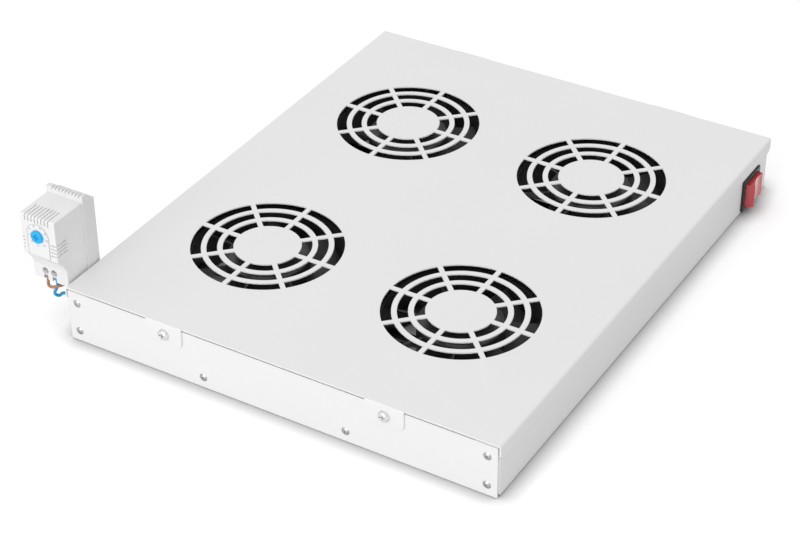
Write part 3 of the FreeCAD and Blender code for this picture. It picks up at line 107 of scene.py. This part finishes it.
class ElectricSettings(bpy.types.PropertyGroup):
    """Finish of the switch, the inlet and the terminal block."""

    rocker_colour: bpy.props.FloatVectorProperty(
        name="Rocker colour", description="Red plastic of the rocker",
        subtype="COLOR", size=4, min=0, max=1, default=(0.5, 0.008, 0.014, 1))
    housing_colour: bpy.props.FloatVectorProperty(
        name="Housing colour", description="Black plastic of the bezel and the inlet",
        subtype="COLOR", size=4, min=0, max=1, default=(0.012, 0.012, 0.012, 1))
    edge: bpy.props.FloatProperty(
        name="Moulded edge", description="Softness of the edges of switch and inlet",
        unit="LENGTH", min=0, default=0.0003)


class ThermostatSettings(bpy.types.PropertyGroup):
    """Finish of the thermostat and the scale round its dial."""

    housing_colour: bpy.props.FloatVectorProperty(
        name="Housing colour", description="Light grey plastic of the housing",
        subtype="COLOR", size=4, min=0, max=1, default=(0.82, 0.822, 0.825, 1))
    dial_colour: bpy.props.FloatVectorProperty(
        name="Dial colour", description="Bright blue plastic of the dial",
        subtype="COLOR", size=4, min=0, max=1, default=(0.005, 0.42, 0.80, 1))
    edge: bpy.props.FloatProperty(
        name="Moulded edge", description="Softness of the housing's edges",
        unit="LENGTH", min=0, default=0.0004)
    figure_size: bpy.props.FloatProperty(
        name="Figure size", description="Height of the figures round the dial",
        unit="LENGTH", min=0, default=0.0020)
    figure_radius: bpy.props.FloatProperty(
        name="Figure radius", description="Distance of the figures from the dial's middle",
        unit="LENGTH", min=0, default=0.0084)


class LeadSettings(bpy.types.PropertyGroup):
    """The two leads between the thermostat and the grommet."""

    brown_colour: bpy.props.FloatVectorProperty(
        name="Brown", description="Sleeve of the brown lead",
        subtype="COLOR", size=4, min=0, max=1, default=(0.42, 0.20, 0.11, 1))
    blue_colour: bpy.props.FloatVectorProperty(
        name="Blue", description="Sleeve of the blue lead",
        subtype="COLOR", size=4, min=0, max=1, default=(0.01, 0.36, 0.68, 1))
    diameter: bpy.props.FloatProperty(
        name="Diameter", description="Outer diameter of a lead",
        unit="LENGTH", min=0, default=0.0024)


class StageSettings(bpy.types.PropertyGroup):
    """Floor, camera and lights."""

    floor_size: bpy.props.FloatProperty(
        name="Floor size", description="Side of the pale floor", unit="LENGTH", min=1, default=14)
    sky_strength: bpy.props.FloatProperty(
        name="Sky strength", description="Even light from all round", min=0, default=0.91)
    key_power: bpy.props.FloatProperty(
        name="Key power", description="Power of the low lamp in front, in watts", min=0, default=48)
    camera_distance: bpy.props.FloatProperty(
        name="Camera distance", description="From the camera to the middle of the tray's foot",
        unit="LENGTH", min=0.1, default=1.65866)


setting_groups = {
    "fan_tray_sheets": TraySettings,
    "fan_tray_fans": FanSettings,
    "fan_tray_electric": ElectricSettings,
    "fan_tray_thermostat": ThermostatSettings,
    "fan_tray_leads": LeadSettings,
    "fan_tray_stage": StageSettings,
}


# Shader effects that several materials share


def new_group(name, inputs, outputs):
    """An empty shader group with its sockets, and its entry and exit nodes."""
    group = bpy.data.node_groups.new(name, "ShaderNodeTree")
    for label, kind, value in inputs:
        socket = group.interface.new_socket(name=label, in_out="INPUT", socket_type=kind)
        if value is not None:
            socket.default_value = value
    for label, kind in outputs:
        group.interface.new_socket(name=label, in_out="OUTPUT", socket_type=kind)
    return group, group.nodes.new("NodeGroupInput"), group.nodes.new("NodeGroupOutput")


def noise(tree, scale, detail):
    """A noise texture whose scale may come from a socket."""
    node = tree.nodes.new("ShaderNodeTexNoise")
    node.inputs["Detail"].default_value = detail
    if isinstance(scale, bpy.types.NodeSocket):
        tree.links.new(scale, node.inputs["Scale"])
    else:
        node.inputs["Scale"].default_value = scale
    return node


def maths(tree, operation, *values):
    """A maths node whose inputs are numbers or sockets; returns its output."""
    node = tree.nodes.new("ShaderNodeMath")
    node.operation = operation
    for place, value in enumerate(values):
        if isinstance(value, bpy.types.NodeSocket):
            tree.links.new(value, node.inputs[place])
        else:
            node.inputs[place].default_value = value
    return node.outputs[0]


def colour_mix(tree, factor, first, second):
    """A colour between two others."""
    node = tree.nodes.new("ShaderNodeMix")
    node.data_type = "RGBA"
    tree.links.new(factor, node.inputs[0])
    for socket, colour in ((node.inputs[6], first), (node.inputs[7], second)):
        if isinstance(colour, bpy.types.NodeSocket):
            tree.links.new(colour, socket)
        else:
            socket.default_value = colour
    return node.outputs[2]


def make_cloudy_finish():
    """Colour and roughness that drift in clouds, with a fine grain: paint, plastic and rubber."""
    group, start, end = new_group(
        "Cloudy Finish",
        [("Position", "NodeSocketVector", None),
         ("Colour", "NodeSocketColor", (0.8, 0.8, 0.8, 1)),
         ("Shade", "NodeSocketColor", (0.7, 0.7, 0.7, 1)),
         ("Cloud Scale", "NodeSocketFloat", 20),
         ("Grain Scale", "NodeSocketFloat", 1500),
         ("Roughness", "NodeSocketFloat", 0.4),
         ("Roughness Spread", "NodeSocketFloat", 0.1)],
        [("Colour", "NodeSocketColor"), ("Roughness", "NodeSocketFloat"), ("Height", "NodeSocketFloat")])
    clouds = noise(group, start.outputs["Cloud Scale"], 3)
    grain = noise(group, start.outputs["Grain Scale"], 2)
    for texture in (clouds, grain):
        group.links.new(start.outputs["Position"], texture.inputs["Vector"])
    colour = colour_mix(group, clouds.outputs["Fac"], start.outputs["Colour"], start.outputs["Shade"])
    spread = maths(group, "MULTIPLY", clouds.outputs["Fac"], start.outputs["Roughness Spread"])
    roughness = maths(group, "ADD", spread, start.outputs["Roughness"])
    group.links.new(colour, end.inputs["Colour"])
    group.links.new(roughness, end.inputs["Roughness"])
    group.links.new(grain.outputs["Fac"], end.inputs["Height"])
    return group


def make_drawn_finish():
    """Fine streaks along one direction over bright or tinned metal."""
    group, start, end = new_group(
        "Drawn Finish",
        [("Position", "NodeSocketVector", None),
         ("Colour", "NodeSocketColor", (0.7, 0.7, 0.7, 1)),
         ("Shade", "NodeSocketColor", (0.5, 0.5, 0.5, 1)),
         ("Streak Scale", "NodeSocketFloat", 400),
         ("Roughness", "NodeSocketFloat", 0.25),
         ("Roughness Spread", "NodeSocketFloat", 0.2)],
        [("Colour", "NodeSocketColor"), ("Roughness", "NodeSocketFloat"), ("Height", "NodeSocketFloat")])
    stretch = group.nodes.new("ShaderNodeMapping")
    stretch.inputs["Scale"].default_value = (0.08, 1, 1)
    group.links.new(start.outputs["Position"], stretch.inputs["Vector"])
    streaks = noise(group, start.outputs["Streak Scale"], 4)
    group.links.new(stretch.outputs["Vector"], streaks.inputs["Vector"])
    colour = colour_mix(group, streaks.outputs["Fac"], start.outputs["Colour"], start.outputs["Shade"])
    spread = maths(group, "MULTIPLY", streaks.outputs["Fac"], start.outputs["Roughness Spread"])
    roughness = maths(group, "ADD", spread, start.outputs["Roughness"])
    group.links.new(colour, end.inputs["Colour"])
    group.links.new(roughness, end.inputs["Roughness"])
    group.links.new(streaks.outputs["Fac"], end.inputs["Height"])
    return group


def darker(colour, share):
    """The same colour with less light in it."""
    return (colour[0] * share, colour[1] * share, colour[2] * share, 1)


def finished(name, effect, depth, fixed, **values):
    """A material that takes colour, roughness and bump from a shared effect."""
    material = bpy.data.materials.new(name)
    material.use_nodes = True
    tree = material.node_tree
    shader = tree.nodes["Principled BSDF"]
    for label, value in fixed.items():
        shader.inputs[label].default_value = value
    place = tree.nodes.new("ShaderNodeTexCoord")
    node = tree.nodes.new("ShaderNodeGroup")
    node.node_tree = bpy.data.node_groups[effect]
    tree.links.new(place.outputs["Object"], node.inputs["Position"])
    for label, value in values.items():
        node.inputs[label.replace("_", " ").title()].default_value = value
    bump = tree.nodes.new("ShaderNodeBump")
    bump.inputs["Strength"].default_value = 0.6
    bump.inputs["Distance"].default_value = depth
    tree.links.new(node.outputs["Height"], bump.inputs["Height"])
    tree.links.new(node.outputs["Colour"], shader.inputs["Base Color"])
    tree.links.new(node.outputs["Roughness"], shader.inputs["Roughness"])
    tree.links.new(bump.outputs["Normal"], shader.inputs["Normal"])
    return material


def plastic(name, colour, roughness, grain=2600, depth=0.00002, specular=0.5):
    """Moulded plastic with a fine grain."""
    return finished(
        name, "Cloudy Finish", depth, {"Specular IOR Level": specular},
        colour=colour, shade=darker(colour, 0.9), cloud_scale=60, grain_scale=grain,
        roughness=roughness, roughness_spread=0.12)


def metal(name, colour, roughness):
    """Bright or tinned metal with drawing marks."""
    return finished(
        name, "Drawn Finish", 0.000008, {"Metallic": 1.0},
        colour=colour, shade=darker(colour, 0.82), streak_scale=900,
        roughness=roughness, roughness_spread=0.18)


# Pieces


def only(piece):
    """Selects one object alone and makes it the active one."""
    bpy.ops.object.select_all(action="DESELECT")
    piece.select_set(True)
    bpy.context.view_layer.objects.active = piece


def wear(node, material):
    """Gives a CAD node its material."""
    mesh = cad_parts[node].data
    mesh.materials.clear()
    mesh.materials.append(material)


def softened(node, title, body, material, width):
    """A copy of a CAD node with joined faces and soft edges, which stands for the node."""
    piece = bpy.data.objects.new(title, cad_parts[node].data.copy())
    bpy.context.scene.collection.objects.link(piece)
    only(piece)
    bpy.ops.object.mode_set(mode="EDIT")
    bpy.ops.mesh.select_all(action="SELECT")
    bpy.ops.mesh.remove_doubles(threshold=merge_distance)
    bpy.ops.mesh.dissolve_limited(angle_limit=flat_angle)
    bpy.ops.object.mode_set(mode="OBJECT")
    bpy.ops.object.shade_smooth_by_angle(angle=crease_angle)
    if width > 0:
        bevel = piece.modifiers.new("Soft edges", "BEVEL")
        bevel.width = width
        bevel.segments = 2
        bevel.limit_method = "ANGLE"
        bevel.angle_limit = crease_angle
        bevel.harden_normals = True
        bpy.ops.object.modifier_apply(modifier=bevel.name)
    piece.data.materials.clear()
    piece.data.materials.append(material)
    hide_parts(node)
    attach(piece, body)
    return piece


class FANTRAY_OT_finishes(bpy.types.Operator):
    """Builds the shared shader effects"""

    bl_idname = "fantray.finishes"
    bl_label = "Shared finishes"

    def execute(self, context):
        make_cloudy_finish()
        make_drawn_finish()
        return {"FINISHED"}


class FANTRAY_OT_leads(bpy.types.Operator):
    """Lays the brown and the blue lead from the thermostat to the grommet"""

    bl_idname = "fantray.leads"
    bl_label = "Leads"

    brown_length = 0.0543
    brown_route = [
        (-0.2022, -0.2155, 0.0440),
        (-0.2022, -0.2157, 0.0390),
        (-0.2008, -0.2182, 0.0356),
        (-0.1966, -0.2190, 0.0355),
        (-0.1922, -0.2170, 0.0370),
        (-0.1888, -0.2116, 0.0370),
        (-0.1883, -0.2053, 0.0330),
        (-0.1883, -0.2039, 0.0250),
        (-0.1833, -0.2038, 0.0200),
        (-0.1759, -0.2038, 0.0200),
    ]
    blue_length = 0.0439
    blue_route = [
        (-0.1944, -0.2155, 0.0440),
        (-0.1944, -0.2151, 0.0388),
        (-0.1960, -0.2127, 0.0332),
        (-0.1974, -0.2173, 0.0289),
        (-0.1953, -0.2137, 0.0248),
        (-0.1937, -0.2108, 0.0274),
        (-0.1892, -0.2080, 0.0246),
        (-0.1830, -0.2082, 0.0200),
        (-0.1759, -0.2082, 0.0200),
    ]

    def lead(self, title, node, slot, points, colour, diameter, length):
        """One smooth lead through the route's points."""
        curve = bpy.data.curves.new(title, "CURVE")
        curve.dimensions = "3D"
        curve.bevel_depth = diameter / 2
        curve.bevel_resolution = 5
        curve.resolution_u = 16
        curve.use_fill_caps = True
        spline = curve.splines.new("NURBS")
        spline.points.add(len(points) - 1)
        for point, place in zip(spline.points, points):
            point.co = (*place, 1)
        spline.order_u = 3
        spline.use_endpoint_u = True
        piece = bpy.data.objects.new(title, curve)
        bpy.context.scene.collection.objects.link(piece)
        curve.materials.append(plastic(f"{title} sleeve", colour, 0.22, grain=3500, depth=0.000006))
        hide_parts(node)
        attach(piece, "tray")

    def execute(self, context):
        settings = context.scene.fan_tray_leads
        self.lead("Brown_lead", "brown_lead", "brown_sleeve", self.brown_route,
                  settings.brown_colour, settings.diameter, self.brown_length)
        self.lead("Blue_lead", "blue_lead", "blue_sleeve", self.blue_route,
                  settings.blue_colour, settings.diameter, self.blue_length)
        return {"FINISHED"}


class FANTRAY_OT_sheets(bpy.types.Operator):
    """Paints the cover, the base pan, the end panels and the bracket"""

    bl_idname = "fantray.sheets"
    bl_label = "Painted sheets"

    def execute(self, context):
        settings = context.scene.fan_tray_sheets
        paint = finished(
            "Light grey paint", "Cloudy Finish", 0.000012, {"Specular IOR Level": 0.35},
            colour=settings.paint_colour, shade=settings.paint_shade, cloud_scale=9,
            grain_scale=1100, roughness=0.42, roughness_spread=0.1)
        sheets = {
            "top_cover": "Cover_sheet", "front_panel": "Front_plate", "rear_panel": "Rear_plate",
            "base_pan": "Base_sheet", "rail_bracket": "Bracket_sheet",
        }
        for node, title in sheets.items():
            softened(node, title, "tray", paint, settings.sheet_edge)
        return {"FINISHED"}


class FANTRAY_OT_fasteners(bpy.types.Operator):
    """Plates the rivets, screws, nuts and the rail"""

    bl_idname = "fantray.fasteners"
    bl_label = "Fasteners and rail"

    def execute(self, context):
        settings = context.scene.fan_tray_sheets
        zinc = metal("Bright zinc", settings.zinc_colour, 0.22)
        dull = metal("Rivet aluminium", darker(settings.zinc_colour, 0.6), 0.3)
        seen = {
            "panel_rivets": "Panel_rivets", "cover_screws": "Cover_screws", "inlet_screws": "Inlet_screws",
            "fan_screws": "Fan_screws", "rail_rivets": "Rail_rivets", "bracket_rivets": "Bracket_rivets",
            "mounting_rail": "Rail",
        }
        for node, title in seen.items():
            softened(node, title, "tray", dull if "rivets" in node else zinc, 0)
        for node in ("cover_nuts", "fan_nuts", "inlet_nuts", "terminal_screws", "thermostat_screws", "earth_nut"):
            wear(node, zinc)
        return {"FINISHED"}


class FANTRAY_OT_fans(bpy.types.Operator):
    """Finishes the frames, stators and impellers of the fans"""

    bl_idname = "fantray.fans"
    bl_label = "Fans"

    def execute(self, context):
        settings = context.scene.fan_tray_fans
        blade = plastic("Blade plastic", settings.blade_colour, 0.30, grain=1800)
        casting = plastic("Frame paint", settings.frame_colour, 0.38, grain=900, depth=0.00004)
        steel = metal("Stator steel", (0.36, 0.34, 0.32, 1), 0.35)
        for fan in fan_names:
            title = fan.title()
            softened(f"fan_impeller_{fan}", f"Impeller_{title}", f"impeller_{fan}",
                     blade, settings.edge)
            softened(f"fan_frame_{fan}", f"Frame_{title}", "tray", casting, settings.edge)
            wear(f"fan_stator_{fan}", steel)
        return {"FINISHED"}


class FANTRAY_OT_electric(bpy.types.Operator):
    """Finishes the switch, the inlet, the terminal block and the earth stud"""

    bl_idname = "fantray.electric"
    bl_label = "Switch, inlet and terminals"

    def execute(self, context):
        settings = context.scene.fan_tray_electric
        black = plastic("Black plastic", settings.housing_colour, 0.28, grain=2200)
        red = plastic("Rocker plastic", settings.rocker_colour, 0.12, grain=4000, depth=0.000004)
        red.node_tree.nodes["Principled BSDF"].inputs["Coat Weight"].default_value = 1
        nylon = plastic("White nylon", (0.78, 0.77, 0.71, 1), 0.45)
        brass = metal("Tinned brass", (0.72, 0.66, 0.47, 1), 0.25)
        softened("switch_housing", "Switch_housing", "tray", black, settings.edge)
        softened("mains_inlet", "Mains_inlet", "tray", black, settings.edge)
        softened("switch_rocker", "Switch_rocker", "rocker", red, settings.edge)
        softened("terminal_block", "Terminal_block", "tray", nylon, settings.edge)
        for node in ("switch_terminals", "inlet_pins", "earth_stud"):
            wear(node, brass)
        wear("lead_grommet", plastic("Grommet rubber", (0.02, 0.02, 0.02, 1), 0.6))
        return {"FINISHED"}


class FANTRAY_OT_thermostat(bpy.types.Operator):
    """Finishes the thermostat's housing, base, rail foot and dial"""

    bl_idname = "fantray.thermostat"
    bl_label = "Thermostat"

    def execute(self, context):
        settings = context.scene.fan_tray_thermostat
        colour = settings.housing_colour
        housing = plastic("Thermostat plastic", colour, 0.36, grain=1900)
        base = plastic("Thermostat base plastic", darker(colour, 0.93), 0.4, grain=1900)
        blue = plastic("Dial plastic", settings.dial_colour, 0.2, grain=3000, depth=0.000006)
        width = settings.edge
        softened("thermostat_housing", "Thermostat_housing", "tray", housing, width)
        softened("thermostat_base", "Thermostat_base", "tray", base, width)
        softened("thermostat_rail_foot", "Thermostat_foot", "tray", base, width)
        softened("thermostat_dial", "Thermostat_dial", "dial", blue, width / 3)
        return {"FINISHED"}


class FANTRAY_OT_dial_scale(bpy.types.Operator):
    """Prints plain figures in a ring round the dial"""

    bl_idname = "fantray.dial_scale"
    bl_label = "Dial scale"

    # Angles in degrees, anticlockwise from the right
    first_angle = 225
    step_angle = 39
    unit_angle = -95
    lowest_figure = -10
    figure_step = 10
    figure_count = 8
    ink_height = 0.00002
    face_gap = 0.00001

    def figure(self, words, place, size, ink):
        """One printed figure that lies on the arch plate."""
        bpy.ops.object.select_all(action="DESELECT")
        bpy.ops.object.text_add(location=place, rotation=(math.radians(90), 0, 0))
        piece = bpy.context.object
        piece.data.body = words
        piece.data.size = size
        piece.data.align_x = "CENTER"
        piece.data.align_y = "CENTER"
        piece.data.extrude = self.ink_height
        bpy.ops.object.convert(target="MESH")
        bpy.ops.object.transform_apply(location=True, rotation=True, scale=True)
        piece = bpy.context.object
        piece.data.materials.append(ink)
        return piece

    def execute(self, context):
        settings = context.scene.fan_tray_thermostat
        ink = plastic("Grey ink", (0.22, 0.21, 0.20, 1), 0.5)
        low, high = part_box("thermostat_dial")
        middle = (low + high) / 2
        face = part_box("thermostat_housing")[0].y - self.face_gap
        marks = []
        for step in range(self.figure_count):
            figure = self.lowest_figure + self.figure_step * step
            marks.append((str(figure), self.first_angle - self.step_angle * step))
        marks.append(("°C", self.unit_angle))
        pieces = []
        for words, angle in marks:
            reach = settings.figure_radius
            x = middle.x + reach * math.cos(math.radians(angle))
            z = middle.z + reach * math.sin(math.radians(angle))
            pieces.append(self.figure(words, (x, face, z), settings.figure_size, ink))
        only(pieces[0])
        for piece in pieces:
            piece.select_set(True)
        bpy.ops.object.join()
        scale = bpy.context.object
        scale.name = "Dial_figures"
        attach(scale, "tray")
        return {"FINISHED"}


def seen_directly(tree):
    """1 for the camera, and for what shows in reflections and through glass."""
    path = tree.nodes.new("ShaderNodeLightPath")
    seen = maths(tree, "MAXIMUM", path.outputs["Is Camera Ray"], path.outputs["Is Transmission Ray"])
    return maths(tree, "MAXIMUM", seen, path.outputs["Is Glossy Ray"])


class FANTRAY_OT_stage(bpy.types.Operator):
    """Sets up the pale floor, the lights and the camera"""

    bl_idname = "fantray.stage"
    bl_label = "Stage"

    floor_drop = 0.0002
    # Reach and colour of the painted contact shadow that darkens the floor near the tray
    contact_reach = 0.016
    contact_colour = (0.92, 0.92, 0.923, 1)
    bounce_colour = (0.6, 0.6, 0.605, 1)
    floor_lift = 0.2
    key_place = (-0.4, -3.4, 0.9)
    key_size = 2.2

    def floor(self, size):
        """A pale floor that the camera sees as white and that keeps the shadow.

        It lies a hair below the tray, because two faces at one height flicker. Where the tray
        stands close, a painted shadow darkens the floor's seen colour and glow, and its bounced light is weaker
        than its look.
        """
        bpy.ops.object.select_all(action="DESELECT")
        bpy.ops.mesh.primitive_plane_add(size=size, location=(0, 0, -self.floor_drop))
        piece = bpy.context.object
        piece.name = "Floor"
        material = bpy.data.materials.new("Floor paper")
        material.use_nodes = True
        tree = material.node_tree
        shader = tree.nodes["Principled BSDF"]
        shader.inputs["Roughness"].default_value = 0.9
        shader.inputs["Specular IOR Level"].default_value = 0.1
        shader.inputs["Emission Color"].default_value = (1, 1, 1, 1)
        # Painted contact shadow: an occlusion mask darkens the floor's seen colour near the tray
        painted_shadow_mask = tree.nodes.new("ShaderNodeAmbientOcclusion")
        painted_shadow_mask.inputs["Distance"].default_value = self.contact_reach
        painted_shadow_mask.inputs["Color"].default_value = self.contact_colour
        seen = seen_directly(tree)
        shade = colour_mix(tree, seen, self.bounce_colour, painted_shadow_mask.outputs["Color"])
        tree.links.new(shade, shader.inputs["Base Color"])
        lift = maths(tree, "MULTIPLY", seen, self.floor_lift)
        # The painted shadow also dims the floor's glow near the tray
        lift = maths(tree, "MULTIPLY", lift, painted_shadow_mask.outputs["AO"])
        tree.links.new(lift, shader.inputs["Emission Strength"])
        piece.data.materials.append(material)

    def sky(self, strength):
        """Even light, seen as plain white by the camera and in reflections."""
        world = bpy.data.worlds.new("Studio")
        world.use_nodes = True
        bpy.context.scene.world = world
        tree = world.node_tree
        seen = seen_directly(tree)
        power = maths(tree, "MULTIPLY_ADD", seen, 1 - strength, strength)
        background = tree.nodes["Background"]
        background.inputs["Color"].default_value = (1, 1, 1, 1)
        tree.links.new(power, background.inputs["Strength"])

    def key_lamp(self, power):
        """A large soft lamp that faces the tray's foot."""
        bpy.ops.object.select_all(action="DESELECT")
        bpy.ops.object.light_add(type="AREA", location=self.key_place)
        piece = bpy.context.object
        piece.name = "Key"
        piece.data.shape = "DISK"
        piece.data.size = self.key_size
        piece.data.energy = power
        direction = -Vector(self.key_place)
        piece.rotation_euler = direction.to_track_quat("-Z", "Y").to_euler()

    def camera(self, distance):
        """The photograph's point of view."""
        flat = math.cos(camera_above)
        back = Vector((math.sin(camera_around) * flat, -math.cos(camera_around) * flat, math.sin(camera_above)))
        side = Vector((0, 0, 1)).cross(back).normalized()
        up = back.cross(side)
        right = math.cos(camera_tilt) * side + math.sin(camera_tilt) * up
        top = math.cos(camera_tilt) * up - math.sin(camera_tilt) * side
        place = camera_aim + back * distance
        bpy.ops.object.select_all(action="DESELECT")
        bpy.ops.object.camera_add(location=place)
        piece = bpy.context.object
        piece.name = "Camera"
        turn = Matrix((right, top, back)).transposed().to_4x4()
        piece.matrix_world = Matrix.Translation(place) @ turn
        piece.data.sensor_width = sensor_width
        piece.data.lens = focal_length / picture_width * sensor_width
        piece.data.shift_x = (picture_width / 2 - optical_centre[0]) / picture_width
        piece.data.shift_y = (optical_centre[1] - picture_height / 2) / picture_width
        piece.data.clip_end = 60
        bpy.context.scene.camera = piece

    def execute(self, context):
        settings = context.scene.fan_tray_stage
        self.camera(settings.camera_distance)
        self.floor(settings.floor_size)
        self.sky(settings.sky_strength)
        self.key_lamp(settings.key_power)
        context.scene.view_settings.view_transform = "Standard"
        return {"FINISHED"}


class FANTRAY_PT_panel(bpy.types.Panel):
    """The tray's pieces and settings"""

    bl_idname = "FANTRAY_PT_panel"
    bl_label = "Fan Tray"
    bl_space_type = "VIEW_3D"
    bl_region_type = "UI"
    bl_category = "Fan Tray"

    def draw(self, context):
        for name, group in setting_groups.items():
            box = self.layout.box()
            for prop in group.__annotations__:
                box.prop(getattr(context.scene, name), prop)
        for operator in operators:
            self.layout.operator(operator.bl_idname)


operators = (
    FANTRAY_OT_stage,
    FANTRAY_OT_finishes,
    FANTRAY_OT_leads,
    FANTRAY_OT_sheets,
    FANTRAY_OT_fasteners,
    FANTRAY_OT_fans,
    FANTRAY_OT_electric,
    FANTRAY_OT_thermostat,
    FANTRAY_OT_dial_scale,
)


def register():
    for group in setting_groups.values():
        bpy.utils.register_class(group)
    for name, group in setting_groups.items():
        setattr(bpy.types.Scene, name, bpy.props.PointerProperty(type=group))
    for operator in operators:
        bpy.utils.register_class(operator)
    bpy.utils.register_class(FANTRAY_PT_panel)


def unregister():
    bpy.utils.unregister_class(FANTRAY_PT_panel)
    for operator in reversed(operators):
        bpy.utils.unregister_class(operator)
    for name in setting_groups:
        delattr(bpy.types.Scene, name)
    for group in reversed(setting_groups.values()):
        bpy.utils.unregister_class(group)


def main():
    """Builds the whole scene."""
    register()
    for operator in operators:
        area, name = operator.bl_idname.split(".")
        getattr(getattr(bpy.ops, area), name)()


if __name__ == "__main__":
    main()
